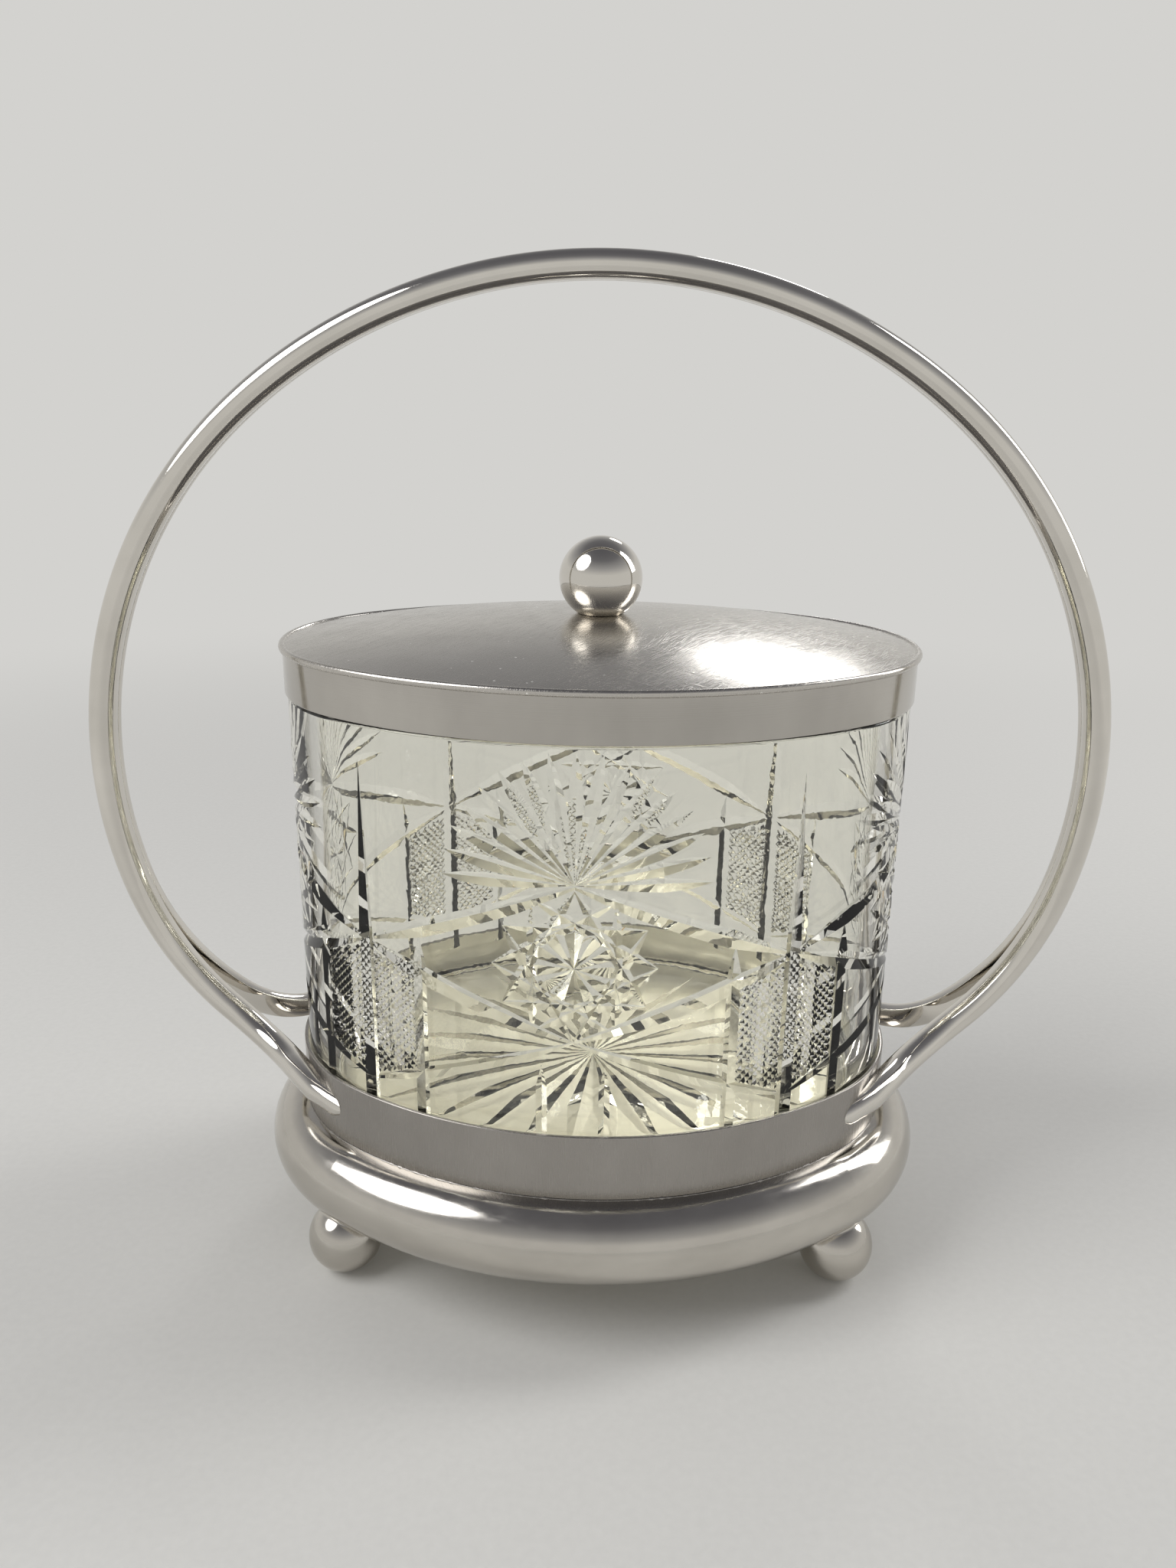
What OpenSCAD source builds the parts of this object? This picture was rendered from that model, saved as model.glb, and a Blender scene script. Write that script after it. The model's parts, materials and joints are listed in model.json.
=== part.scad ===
// Oval cut-glass biscuit jar on a plated stand with ball feet and a hoop handle.
// Every ring of the body is an offset of one four-centre oval, the body line.
// X runs along the oval, Y to the back, Z up. The origin is at the middle of the resting plane.

/* [Body line] */
// Length of the oval body line
body_len = 150; // [144:1.5:165]
// Radius of the oval's two ends
end_r = 42; // [40:0.75:46.5]

/* [Feet and moulding] */
// Diameter of a ball foot
foot_d = 18.4; // [15:0.2:22]
// Height lost where a foot is worn flat underneath
foot_wear = 0.2; // [0.1:0.05:0.4]
// Direction of a foot from the centre of the oval's end, in degrees
foot_turn = 46.5; // [40:0.5:52]
// Depth by which the moulding sits in the foot's dished top
foot_dish = 1.45; // [0.8:0.05:2.5]
// Diameter of the tube that makes the moulding
moulding_d = 21; // [17:0.2:25]
// Distance of the moulding's centre line inside the body line
moulding_in = 0.4; // [0:0.1:1]
// Thickness of the stand's sheet metal
sheet_t = 1.2; // [0.8:0.1:1.6]

/* [Collar] */
// Height of the collar above the moulding's crown
collar_h = 16.5; // [12:0.5:22]
// Thickness of the collar's wall
collar_t = 0.9; // [0.7:0.05:1.2]
// Gap between the collar and the glass all round
jar_gap = 0.4; // [0.2:0.05:0.6]

/* [Glass] */
// Distance of the glass wall inside the body line
glass_in = 0.6; // [0.4:0.1:1.2]
// Height of the glass from its foot to its shoulder
glass_h = 107.2; // [90:0.2:125]
// Thickness of the glass wall
glass_t = 5; // [4.5:0.1:6.5]
// Thickness of the glass floor
floor_t = 9; // [7:0.5:12]
// Radius between the glass floor and the wall
floor_r = 6; // [3:0.5:9]
// Height of the ground neck above the shoulder
neck_h = 8; // [5:0.5:9]
// Number of rays in the star cut under the floor
star_rays = 24; // [12:2:32]
// Depth of the star's rays
star_depth = 1.4; // [0.8:0.1:2.5]
// Length of the star's rays across the width of the oval
star_len = 38; // [25:1:42]
// Distance of the cut pattern to the left of the oval's middle
pattern_shift = 4.5; // [0:0.5:8]
// Angle between the glass face and the sides of a mitre cut
mitre_lean = 30; // [20:1:36]
// Width of the upright cuts between the panels
pillar_w = 4.2; // [3:0.2:5]
// Height of those cuts' points, in percent of the glass above the collar
pillar_top = 91.2; // [85:0.2:95]
// Width of the cuts along a lozenge
lozenge_w = 4.4; // [3:0.2:5]
// Height of the lozenge's bottom corner, in percent of the glass above the collar
lozenge_low = 25.4; // [20:0.2:30]
// Height of the lozenge's side corners, in percent of the glass above the collar
lozenge_mid = 44.6; // [40:0.2:50]
// Height of the lozenge's top corner, in percent of the glass above the collar
lozenge_top = 65.8; // [60:0.2:67]
// Number of rays in the fan on a lozenge
fan_rays = 17; // [9:2:17]
// Height of the fan's middle above the lozenge's top corner
fan_up = 0.6; // [0.4:0.1:1.5]
// Length of the fan's rays, in percent of the height of the glass above the collar
fan_r = 32.4; // [26:0.2:33]
// Width of a ray where it is widest
fan_w = 3.3; // [2:0.1:3.4]
// Width of the cuts that lie under a lozenge
slim_w = 3.2; // [2:0.2:4]
// Height at which the peak under a lozenge ends, in percent of the glass above the collar
peak_low = 4.8; // [3:0.2:12]
// Distance of the tall upright cuts from the panel's middle
tall_out = 35.5; // [30:0.5:40]
// Height of the tall upright cuts' points, in percent of the glass above the collar
tall_top = 49.4; // [45:0.2:50]
// Distance of the short upright cuts from the panel's middle
short_out = 7; // [5:0.5:12]
// Height of the short upright cuts' points, in percent of the glass above the collar
short_top = 19.2; // [14:0.2:21]
// Distance by which the upright cuts run down behind the collar
cut_down = 3; // [1:0.5:6]

/* [Lid] */
// Height of the lid's upright band
band_h = 10; // [9.5:0.5:14]
// Thickness of the band's wall
band_t = 0.9; // [0.7:0.05:1.2]
// Width of the lip turned in at the band's foot
lip_w = 1.2; // [0.8:0.1:1.6]
// Height of that lip
lip_h = 1; // [0.8:0.1:1.5]
// Gap between the lip and the glass neck
lid_gap = 0.3; // [0.2:0.05:0.5]
// Rise of the low dome above the band
dome_rise = 7.8; // [5:0.2:12]
// Thickness of the dome's sheet
dome_t = 1.1; // [0.8:0.1:1.5]
// Diameter of the bead at the dome's edge
bead_d = 1.7; // [1.5:0.1:2.4]

/* [Finial] */
// Diameter of the finial ball
finial_d = 19.7; // [16:0.1:24]
// Height lost where the ball's foot is cut flat
finial_flat = 1.6; // [1:0.1:2.5]
// Diameter of the screw that holds the finial
stud_d = 4; // [3:0.5:5]
// Depth of the screw in the ball
stud_in = 10; // [6:0.5:12]
// Length of the screw below its nut
stud_out = 1; // [0.5:0.1:1.5]
// Thickness of the square nut
nut_h = 3.2; // [2.4:0.2:4]
// Width of the nut across its flats
nut_w = 8; // [7:0.5:10]

/* [Handle] */
// Distance of the hoop's centre line beyond the end of the body line
hoop_out = 46.7; // [40:0.5:55]
// Height of the hoop's widest place above the moulding's crown
hoop_mid = 86.3; // [75:0.5:100]
// Rise of the hoop's centre line above its widest place
hoop_rise = 115; // [113:0.5:135]
// Radius of the hoop's two sides
hoop_side_r = 111; // [100:0.5:112]
// Width of a rod's flat face
rod_w = 6.35; // [5:0.05:8]
// Thickness of a rod from its flat face to its round back
rod_t = 4.75; // [3.8:0.05:6]
// Angle below the hoop's widest place at which the two rods part
fork_start = 17; // [10:1:24]
// Distance beyond the collar's end of the place where a parting rod starts to bend inwards
swing_out = 16; // [12:0.5:20]
// Distance of that place in front of the hoop's plane
swing_front = 4; // [3:0.2:6]
// Height of that place above the moulding's crown
swing_up = 21; // [18:0.5:24]
// Direction of a rod's tip from the centre of the oval's end, in degrees
tip_turn = 50; // [42:1:52]
// Height of a rod's tip above the moulding's crown
tip_up = 11.8; // [9:0.2:12.6]
// Depth to which the tip's flat face is fitted to the collar
tip_in = 0.8; // [0:0.1:1.5]
// Thickness left where the rod's back is filed away at the tip
tip_t = 1.4; // [1:0.1:3]
// Length of that filed slope
tip_slope = 9; // [6:0.5:14]

/* [Hidden] */
$fn = 96;
silver = "silver";
glass = "lightcyan";
brass = "darkgoldenrod";
far = 400;
// How far the sides of an oval solid reach over its middle, and the smoothness of the dome.
lap = end_r / 20;
dome_fn = 360;
// Half width and overlap of the cutter's pieces, pieces in a long cut, a spear point's length
// in widths, and the shape of a fan's ray as [share of its length, share of its width].
mitre_reach = max(pillar_w, lozenge_w);
mitre_over = slim_w / 8;
mitre_steps = 6;
spear_len = 2;
fan_shape = [[0.2, 0.3], [0.64, 1], [1, 0]];
// Part of the last bend that lies before the knee, and the spacing of the rod's sections.
tip_share = 1.7;
hoop_pitch = 9;
fork_pitch = 4;
back_steps = 10;

// The oval is drawn on 3-4-5 triangles: end centres at +-end_c, side arcs of side_r about +-side_c.
// An end arc and a side arc meet on a line from the end centre that rises 4 for 3 along.
end_c = body_len / 2 - end_r;
side_c = end_c * 4 / 3;
side_r = end_r + end_c * 5 / 3;
phi = atan2(4, 3);

// Heights, from the resting plane up.
moulding_r = moulding_d / 2;
foot_z = foot_d / 2 - foot_wear;
moulding_z = foot_z + foot_d / 2 + moulding_r - foot_dish;
crown_z = moulding_z + moulding_r;
collar_top = crown_z + collar_h;
shoulder_z = crown_z + glass_h;
neck_top = shoulder_z + neck_h;
band_top = shoulder_z + band_h;
dome_top = band_top + dome_rise;
finial_z = dome_top + finial_d / 2 - finial_flat;

// Offsets from the body line, outward positive.
glass_o = -glass_in;
collar_in = glass_o + jar_gap;
collar_o = collar_in + collar_t;
inside_o = glass_o - glass_t;
neck_o = -band_t - lip_w - lid_gap;

// The big radius of a four-centre oval from its half axes and its small radius.
function big_r(a, b, r) = (pow(a - r, 2) + b * b - r * r) / (2 * (b - r));

// ---- solids that follow the oval -----------------------------------------------

// The ground between the two seams on the back. It reaches a little way over the front half.
module side_ground() {
    linear_extrude(far)
        polygon([[end_c + 3 * far, 4 * far], [-end_c - 3 * far, 4 * far],
                 [-end_c + 3 * lap, -4 * lap], [end_c - 3 * lap, -4 * lap]]);
}

// The solid that a profile drawn as (offset, height) leaves as it goes round the oval. The
// profile reaches the middle at each of its heights, so both ends lie well inside both sides.
module round_oval() {
    for (half = [0, 180]) rotate(half) {
        translate([end_c, 0, 0]) rotate_extrude() right_half() translate([end_r, 0]) children();
        intersection() {
            translate([0, -side_c, 0]) rotate_extrude() right_half() translate([side_r, 0]) children();
            side_ground();
        }
    }
}

// Keeps the part of a flat shape at positive x.
module right_half() {
    intersection() {
        children();
        translate([0, -far / 2]) square(far);
    }
}

// A level slab of the oval at one offset, as a profile.
module slab(o, z0, z1) {
    translate([-far, z0]) square([far + o, z1 - z0]);
}

// A disc whose half-round edge has its centre at one offset and height.
module round_disc(r, o, z) {
    round_oval() {
        translate([o, z]) circle(r);
        slab(o, z - r, z + r);
    }
}

// A round rod bent round the oval: the disc less all that lies inside the rod.
module oval_rod(r, o, z) {
    difference() {
        round_disc(r, o, z);
        round_oval() difference() {
            slab(o, z - 2 * r, z + 2 * r);
            translate([o, z]) circle(r);
        }
    }
}

// ---- places on the glass wall --------------------------------------------------

half_side = (side_r + glass_o) * (90 - phi) * PI / 180;
whole_end = (end_r + glass_o) * 2 * phi * PI / 180;
panel_w = half_side + whole_end / 2;

// Turns a way round the wall from the front's middle into [centre x, centre y, direction].
function wall_spot(s) =
    s <= half_side ? [0, side_c, -90 + s / (side_r + glass_o) * 180 / PI]
    : s <= half_side + whole_end ? [end_c, 0, -phi + (s - half_side) / (end_r + glass_o) * 180 / PI]
    : let (back = wall_spot(s - 2 * half_side - whole_end)) [-back[0], -back[1], back[2] + 180];

// The wall's outward direction there, and the point at some height and depth behind its face.
function wall_out(s) = let (spot = wall_spot(s)) [cos(spot[2]), sin(spot[2]), 0];
function wall_point(s, z, depth) =
    let (spot = wall_spot(s), reach = (spot[0] == 0 ? side_r : end_r) + glass_o - depth)
    [spot[0] + reach * cos(spot[2]), spot[1] + reach * sin(spot[2]), z];

// A mitre cut whose keel runs through points given as [way round, height, width there].
module mitre(run) {
    for (i = [1:len(run) - 1]) {
        a = run[i - 1];
        b = run[i];
        p = wall_point(a[0], a[1], a[2] / 2 * tan(mitre_lean));
        q = wall_point(b[0], b[1], b[2] / 2 * tan(mitre_lean));
        along = unit(q - p);
        side = unit(cross(wall_out((a[0] + b[0]) / 2), along));
        in_frame(along, side, cross(along, side), p) translate([-mitre_over, 0, 0])
            rotate([90, 0, 90]) linear_extrude(norm(q - p) + 2 * mitre_over)
                polygon([[0, 0], [mitre_reach, mitre_reach * tan(mitre_lean)],
                         [-mitre_reach, mitre_reach * tan(mitre_lean)]]);
    }
}

// The height at a percentage of the glass that shows between the collar and the shoulder.
function cut_z(percent) = collar_top + percent / 100 * (shoulder_z - collar_top);

// A mitre cut from the middle of a panel to its edge, in pieces short enough to follow the wall.
module long_mitre(s, hand, z0, z1, w) {
    mitre([for (i = [0:mitre_steps]) let (f = i / mitre_steps)
              [s + f * hand * panel_w / 2, z0 + f * (z1 - z0), w]]);
}

// An upright mitre cut with a spear point at its top, from behind the collar.
module upright_mitre(s, top, w) {
    mitre([[s, collar_top - cut_down, w], [s, top - spear_len * w, w], [s, top, 0]]);
}

// ---- stand ---------------------------------------------------------------------

module moulding_round() {
    translate([-moulding_in, moulding_z]) circle(moulding_r);
}

// The plate lies in the angle inside the tube, level with its crown.
module base_plate() {
    color(silver) round_oval() difference() {
        slab(-moulding_in, crown_z - sheet_t, crown_z);
        moulding_round();
    }
}

module collar_band() {
    color(silver) difference() {
        round_oval() slab(collar_o, moulding_z, collar_top);
        round_oval() slab(collar_in, moulding_z - 1, collar_top + 1);
        round_disc(moulding_r, -moulding_in, moulding_z);
    }
}

// A closed tube, bent round the oval.
module base_moulding() {
    color(silver) difference() {
        oval_rod(moulding_r, -moulding_in, moulding_z);
        oval_rod(moulding_r - sheet_t, -moulding_in, moulding_z);
    }
}

module foot(left, back) {
    mirror([left, 0, 0]) mirror([0, 1 - back, 0])
        color(silver) difference() {
            translate([end_c, 0, 0]) rotate(foot_turn) translate([end_r, 0, foot_z])
                sphere(d = foot_d);
            translate([0, 0, -foot_d]) cube([2 * body_len, 2 * body_len, foot_d]);
            translate([end_c, 0, 0]) rotate_extrude()
                translate([end_r, 0]) moulding_round();
        }
}

module foot_front_left() { foot(1, 0); }
module foot_front_right() { foot(0, 0); }
module foot_back_left() { foot(1, 1); }
module foot_back_right() { foot(0, 1); }

// ---- handle --------------------------------------------------------------------

// An arc is [centre, axis, angle, start point, way out from the rod's flat face].
function unit(v) = v / norm(v);
function turned(v, axis, a) = v * cos(a) + cross(axis, v) * sin(a) + axis * (axis * v) * (1 - cos(a));
function arc_to(p, dir, q, back) =
    let (chord = q - p, a = 2 * acos(dir * unit(chord)), axis = unit(cross(dir, chord)))
    [p + cross(axis, dir) * norm(chord) / (2 * sin(a / 2)), axis, a, p, back];
function end_dir(arc, dir) = turned(dir, arc[1], arc[2]);
function end_back(arc) = turned(arc[4], arc[1], arc[2]);

// The point where two arcs meet smoothly between p and q; share sets the first arc's part.
function knee(p, dir_p, q, dir_q, share) =
    let (v = q - p, a = 2 * share * (dir_p * dir_q - 1), b = -2 * (v * (share * dir_p + dir_q)),
         leg = (-b - sqrt(b * b - 4 * a * (v * v))) / (2 * a),
         m = p + share * leg * dir_p, n = q - leg * dir_q)
    m + (n - m) * share / (1 + share);

hoop_a = body_len / 2 + hoop_out;
hoop_z = crown_z + hoop_mid;
hoop_c = hoop_a - hoop_side_r;
hoop_big_r = big_r(hoop_a, hoop_rise, hoop_side_r);
hoop_turn = atan2(hoop_big_r - hoop_rise, hoop_c);
hoop_centre = [hoop_c, 0, hoop_z];
top_centre = [0, 0, hoop_z + hoop_rise - hoop_big_r];
front = [0, -1, 0];

// The right half of the front rod's flat face, from the hoop's top to the tip on the collar.
top_arc = [top_centre, [0, 1, 0], 90 - hoop_turn, top_centre + [0, 0, hoop_big_r], front];
side_arc = [hoop_centre, [0, 1, 0], hoop_turn + fork_start,
            hoop_centre + hoop_side_r * [cos(hoop_turn), 0, sin(hoop_turn)], front];
part_p = hoop_centre + hoop_side_r * [cos(fork_start), 0, -sin(fork_start)];
part_dir = [-sin(fork_start), 0, -cos(fork_start)];
swing_p = [body_len / 2 + collar_o + swing_out, -swing_front, crown_z + swing_up];
swing_arc = arc_to(part_p, part_dir, swing_p, front);
swing_dir = end_dir(swing_arc, part_dir);
tip_reach = end_r + collar_o - tip_in;
tip_p = [end_c + tip_reach * cos(tip_turn), -tip_reach * sin(tip_turn), crown_z + tip_up];
tip_dir = [-sin(tip_turn), -cos(tip_turn), 0];
knee_p = knee(swing_p, swing_dir, tip_p, tip_dir, tip_share);
bend_arc = arc_to(swing_p, swing_dir, knee_p, end_back(swing_arc));
tip_arc = arc_to(knee_p, end_dir(bend_arc, swing_dir), tip_p, end_back(bend_arc));

// A station on an arc is [place, way out from the flat face, direction].
function station(arc, f) =
    let (spoke = turned(arc[3] - arc[0], arc[1], arc[2] * f))
    [arc[0] + spoke, turned(arc[4], arc[1], arc[2] * f), unit(cross(arc[1], spoke))];
function stations(arc, pitch) =
    let (n = ceil(norm(arc[3] - arc[0]) * arc[2] * PI / 180 / pitch)) [for (i = [1:n]) station(arc, i / n)];
half_run = concat(stations(top_arc, hoop_pitch), stations(side_arc, hoop_pitch),
                  stations(swing_arc, fork_pitch), stations(bend_arc, fork_pitch),
                  stations(tip_arc, fork_pitch));

// The same stations on the left half, in the order that goes on from the right half.
function mirrored(v) = [-v[0], v[1], v[2]];
function left_of(st) = [mirrored(st[0]), mirrored(st[1]), -mirrored(st[2])];
last = len(half_run) - 1;
rod_run = concat([for (i = [last:-1:0]) left_of(half_run[i])], [station(top_arc, 0)], half_run);

// The rod's section as (across the flat, out from the flat): a flat face and a half-round back.
shoulder = rod_t - rod_w / 2;
rod_section = concat([[rod_w / 2, 0]],
                     [for (i = [0:back_steps]) let (a = 180 * i / back_steps)
                         [cos(a) * rod_w / 2, shoulder + sin(a) * rod_w / 2]],
                     [[-rod_w / 2, 0]]);

// One solid that carries a section along a run of stations.
module swept(section, run) {
    n = len(section);
    ends = len(run) - 1;
    points = [for (st = run, q = section) st[0] + q[0] * cross(st[2], st[1]) + q[1] * st[1]];
    walls = [for (i = [0:ends - 1], j = [0:n - 1]) let (k = (j + 1) % n)
                [i * n + j, i * n + k, (i + 1) * n + k, (i + 1) * n + j]];
    polyhedron(points, concat(walls, [[for (j = [n - 1:-1:0]) j]], [[for (j = [0:n - 1]) ends * n + j]]));
}

// Puts its children in the frame whose axes are u, v and w at point p.
module in_frame(u, v, w, p) {
    multmatrix([[u[0], v[0], w[0], p[0]], [u[1], v[1], w[1], p[1]], [u[2], v[2], w[2], p[2]]])
        children();
}

// The slope that the file leaves on the back of the right tip.
module tip_filing() {
    back = end_back(tip_arc);
    in_frame(tip_dir, back, cross(tip_dir, back), tip_p) translate([0, tip_t, 0])
        rotate(-atan2(rod_t - tip_t, tip_slope)) translate([-2 * tip_slope, 0, -rod_w])
            cube([3 * tip_slope, rod_t, 2 * rod_w]);
}

module handle_front_rod() {
    color(silver) difference() {
        swept(rod_section, rod_run);
        for (left = [0, 1]) mirror([left, 0, 0]) {
            translate([end_c, 0, crown_z]) cylinder(r = end_r + collar_o, h = collar_h);
            tip_filing();
        }
    }
}

module handle_back_rod() {
    mirror([0, 1, 0]) handle_front_rod();
}

// ---- glass ---------------------------------------------------------------------

module glass_section() {
    slab(glass_o, crown_z, shoulder_z);
    slab(neck_o, shoulder_z, neck_top);
}

module hollow_section() {
    floor_z = crown_z + floor_t;
    slab(inside_o, floor_z + floor_r, neck_top + 1);
    slab(inside_o - floor_r, floor_z, floor_z + floor_r);
    translate([inside_o - floor_r, floor_z + floor_r]) intersection() {
        circle(floor_r);
        translate([0, -floor_r]) square(floor_r);
    }
}

// One ray of the star, a wedge under the floor that is half as wide as its share of the ring.
module star_ray(len) {
    w = PI * star_len / star_rays;
    translate([0, 0, crown_z]) rotate([90, 0, 90]) linear_extrude(len)
        polygon([[-w / 2, -star_depth], [0, star_depth], [w / 2, -star_depth]]);
}

// One ray of the fan over a lozenge's top corner, at an angle from level.
module fan_ray(s, a) {
    r = cut_z(fan_r) - collar_top;
    z = cut_z(lozenge_top) + fan_up;
    mitre([for (st = fan_shape) [s + st[0] * r * cos(a), z + st[0] * r * sin(a), st[1] * fan_w]]);
}

// The cuts on one half of a panel, hand 1 to the right of its middle and -1 to the left.
module half_panel(s, hand) {
    long_mitre(s, hand, cut_z(lozenge_top), cut_z(lozenge_mid), lozenge_w);
    long_mitre(s, hand, cut_z(lozenge_low), cut_z(lozenge_mid), lozenge_w);
    long_mitre(s, hand, cut_z(lozenge_low), cut_z(peak_low), slim_w);
    upright_mitre(s + hand * tall_out, cut_z(tall_top), slim_w);
    upright_mitre(s + hand * short_out, cut_z(short_top), slim_w);
}

module cut_panel(s) {
    for (hand = [-1, 1]) half_panel(s, hand);
    for (i = [0:fan_rays - 1]) fan_ray(s, 180 * i / (fan_rays - 1));
    upright_mitre(s + panel_w / 2, cut_z(pillar_top), pillar_w);
}

module glass_jar() {
    color(glass) difference() {
        round_oval() glass_section();
        round_oval() hollow_section();
        for (k = [0:3]) cut_panel(panel_w * k - pattern_shift);
        for (i = [0:star_rays - 1]) rotate(360 * i / star_rays) star_ray(star_len);
    }
}

// ---- lid -----------------------------------------------------------------------

module lid_band() {
    color(silver) difference() {
        round_oval() slab(0, shoulder_z, band_top);
        round_oval() {
            slab(-band_t - lip_w, shoulder_z - 1, band_top + 1);
            slab(-band_t, shoulder_z + lip_h, band_top + 1);
        }
    }
}

// The dome's face is an arc across the oval that swings along an arc of its length. Both arcs
// fall from the dome's top to the bead.
bead_z = band_top + bead_d / 2;
dome_drop = dome_top - bead_z - bead_d / 4;
along_r = rise_r(body_len / 2, dome_drop);
across_r = rise_r(side_r - side_c, dome_drop);
function rise_r(reach, rise) = (reach * reach + rise * rise) / (2 * rise);

// All that lies under a face at some depth below the dome's, as far down as the oval needs it.
module under_dome(depth) {
    $fn = dome_fn;
    translate([0, 0, dome_top - along_r]) rotate([90, 0, 0]) rotate_extrude() intersection() {
        translate([along_r - across_r, 0]) circle(across_r - depth);
        translate([along_r - 4 * dome_rise, -body_len]) square([4 * dome_rise, 2 * body_len]);
    }
}

module lid_dome() {
    color(silver) difference() {
        union() {
            intersection() {
                under_dome(0);
                round_oval() slab(0, bead_z, dome_top + 1);
            }
            oval_rod(bead_d / 2, 0, bead_z);
        }
        intersection() {
            under_dome(dome_t);
            round_oval() slab(-bead_d / 2, band_top - 1, dome_top + 1);
        }
        translate([0, 0, dome_top - 2 * dome_t]) cylinder(d = stud_d, h = 3 * dome_t);
    }
}

module finial_ball() {
    color(silver) difference() {
        translate([0, 0, finial_z]) sphere(d = finial_d);
        translate([-finial_d, -finial_d, dome_top - 2 * finial_d]) cube(2 * finial_d);
        translate([0, 0, dome_top - 1]) cylinder(d = stud_d, h = stud_in + 1);
    }
}

// The nut's corners touch the dome's inner face.
nut_reach = nut_w / 2;
nut_arm = along_r - across_r + sqrt(pow(across_r - dome_t, 2) - pow(nut_reach, 2));
nut_z = dome_top - along_r + sqrt(pow(nut_arm, 2) - pow(nut_reach, 2)) - nut_h;

module finial_stud() {
    color(brass) translate([0, 0, nut_z - stud_out])
        cylinder(d = stud_d, h = dome_top + stud_in - nut_z + stud_out);
}

module finial_nut() {
    color(brass) difference() {
        translate([-nut_w / 2, -nut_w / 2, nut_z]) cube([nut_w, nut_w, nut_h]);
        translate([0, 0, nut_z - 1]) cylinder(d = stud_d, h = nut_h + 2);
    }
}

base_plate();
collar_band();
base_moulding();
foot_front_left();
foot_front_right();
foot_back_left();
foot_back_right();
handle_front_rod();
handle_back_rod();
glass_jar();
lid_band();
lid_dome();
finial_ball();
finial_stud();
finial_nut();
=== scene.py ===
# Oval cut-glass biscuit jar on a plated stand: the looks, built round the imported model.
import json
import math
import random

import bmesh
import bpy
from mathutils import Matrix, Quaternion, Vector

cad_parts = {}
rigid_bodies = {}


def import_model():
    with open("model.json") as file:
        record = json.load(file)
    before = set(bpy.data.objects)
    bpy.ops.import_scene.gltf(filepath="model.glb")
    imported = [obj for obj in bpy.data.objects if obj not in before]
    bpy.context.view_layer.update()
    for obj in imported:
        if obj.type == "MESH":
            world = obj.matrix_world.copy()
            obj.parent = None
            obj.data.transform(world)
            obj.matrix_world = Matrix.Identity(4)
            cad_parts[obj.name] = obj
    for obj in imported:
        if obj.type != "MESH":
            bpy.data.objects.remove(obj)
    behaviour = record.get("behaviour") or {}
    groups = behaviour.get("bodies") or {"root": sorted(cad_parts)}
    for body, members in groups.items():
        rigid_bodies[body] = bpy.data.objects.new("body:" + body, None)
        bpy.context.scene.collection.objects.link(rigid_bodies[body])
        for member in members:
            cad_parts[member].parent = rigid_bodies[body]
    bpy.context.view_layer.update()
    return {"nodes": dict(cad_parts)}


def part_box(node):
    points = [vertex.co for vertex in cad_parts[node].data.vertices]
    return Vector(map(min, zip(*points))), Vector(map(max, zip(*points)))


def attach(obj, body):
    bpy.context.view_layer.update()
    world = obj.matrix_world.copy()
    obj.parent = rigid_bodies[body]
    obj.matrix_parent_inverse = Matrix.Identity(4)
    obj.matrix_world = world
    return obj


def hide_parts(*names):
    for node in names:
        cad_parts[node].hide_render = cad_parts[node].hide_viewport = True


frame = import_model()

nodes = frame["nodes"]
MM = 0.001


# ---- sizes, in millimetres, from the frame --------------------------------------------------

def span(node):
    """Lowest and highest corner of a CAD node, in millimetres."""
    low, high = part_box(node)
    return low / MM, high / MM


band_low, band_high = span("lid_band")
dome_high = span("lid_dome")[1]
jar_low, jar_high = span("glass_jar")
collar_high = span("collar_band")[1]
moulding_low, moulding_high = span("base_moulding")

# The body line: four arcs on 3-4-5 triangles. Every ring of the jar is an offset of it.
half_len = band_high.x
half_wid = band_high.y
end_c = (half_len - half_wid) * 3 / 2
end_r = half_len - end_c
side_c = end_c * 4 / 3
side_r = end_r + end_c * 5 / 3
seam = math.atan2(4, 3)

foot_level = jar_low.z
collar_top = collar_high.z
shoulder = band_low.z
neck_top = jar_high.z
band_top = band_high.z
dome_top = dome_high.z

# Offsets from the body line, outward positive.
glass_o = -0.6
glass_wall = 5.0
inside_o = glass_o - glass_wall
neck_o = -2.4
floor_thick = 9.0
floor_round = 6.0
collar_in = -0.2
collar_wall = 0.9


# ---- the oval ------------------------------------------------------------------------------

half_side = (side_r + glass_o) * (math.pi / 2 - seam)
whole_end = (end_r + glass_o) * 2 * seam
panel_w = half_side + whole_end / 2


def wall_spot(s):
    """Centre, radius and direction of the body line, s round the glass from the front."""
    s = (s + half_side) % (4 * panel_w) - half_side
    if s <= half_side:
        return 0, side_c, side_r, -math.pi / 2 + s / (side_r + glass_o)
    if s <= half_side + whole_end:
        return end_c, 0, end_r, -seam + (s - half_side) / (end_r + glass_o)
    x, y, r, turn = wall_spot(s - 2 * panel_w)
    return -x, -y, r, turn + math.pi


def wall_point(spot, o, z):
    """The place at an offset and a height on a spot of the oval."""
    x, y, r, turn = spot
    return Vector((x + (r + o) * math.cos(turn), y + (r + o) * math.sin(turn), z))


def wall_turn(spot, along, out, up):
    """A direction given along the wall, outward and up, at a spot of the oval."""
    cos, sin = math.cos(spot[3]), math.sin(spot[3])
    return Vector((out * cos - along * sin, out * sin + along * cos, up))


RING_PITCH = 1.6
ring_steps = round(4 * panel_w / RING_PITCH)
ring_spots = [wall_spot(4 * panel_w * i / ring_steps) for i in range(ring_steps)]


def put(obj):
    """Links an object into the scene."""
    bpy.context.scene.collection.objects.link(obj)


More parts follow.
